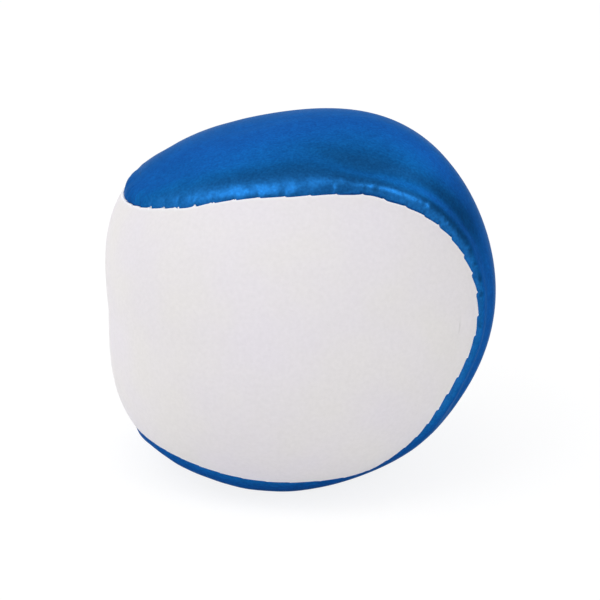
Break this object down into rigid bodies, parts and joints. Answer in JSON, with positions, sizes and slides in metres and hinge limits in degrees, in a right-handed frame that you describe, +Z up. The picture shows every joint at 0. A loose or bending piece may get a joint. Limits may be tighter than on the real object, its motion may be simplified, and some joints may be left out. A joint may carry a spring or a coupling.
{
  "type": "two-panel footbag",
  "caption": "Soft kicking ball of two dumbbell-shaped leatherette panels, white and blue, sewn along one winding seam round a pellet filling.",
  "frame": {"origin": "on the surface that the bag rests on, under the middle of its box", "axes": "+Z up, -Y towards the front, where the white lobe shows, +X to the right seen from the front"},
  "size_m": [0.0518, 0.0512, 0.0471],
  "materials": {
    "white_leatherette": "soft matt synthetic leather with a faint grain",
    "blue_leatherette": "satin synthetic leather with a fine grain",
    "thread": "twisted polyester",
    "pellets": "natural plastic"
  },
  "bodies": {
    "root": {"white_panel": "white_leatherette", "blue_panel": "blue_leatherette", "seam_thread": "thread", "closing_thread": "thread", "pellet_fill": "pellets"}
  },
  "joints": []
}
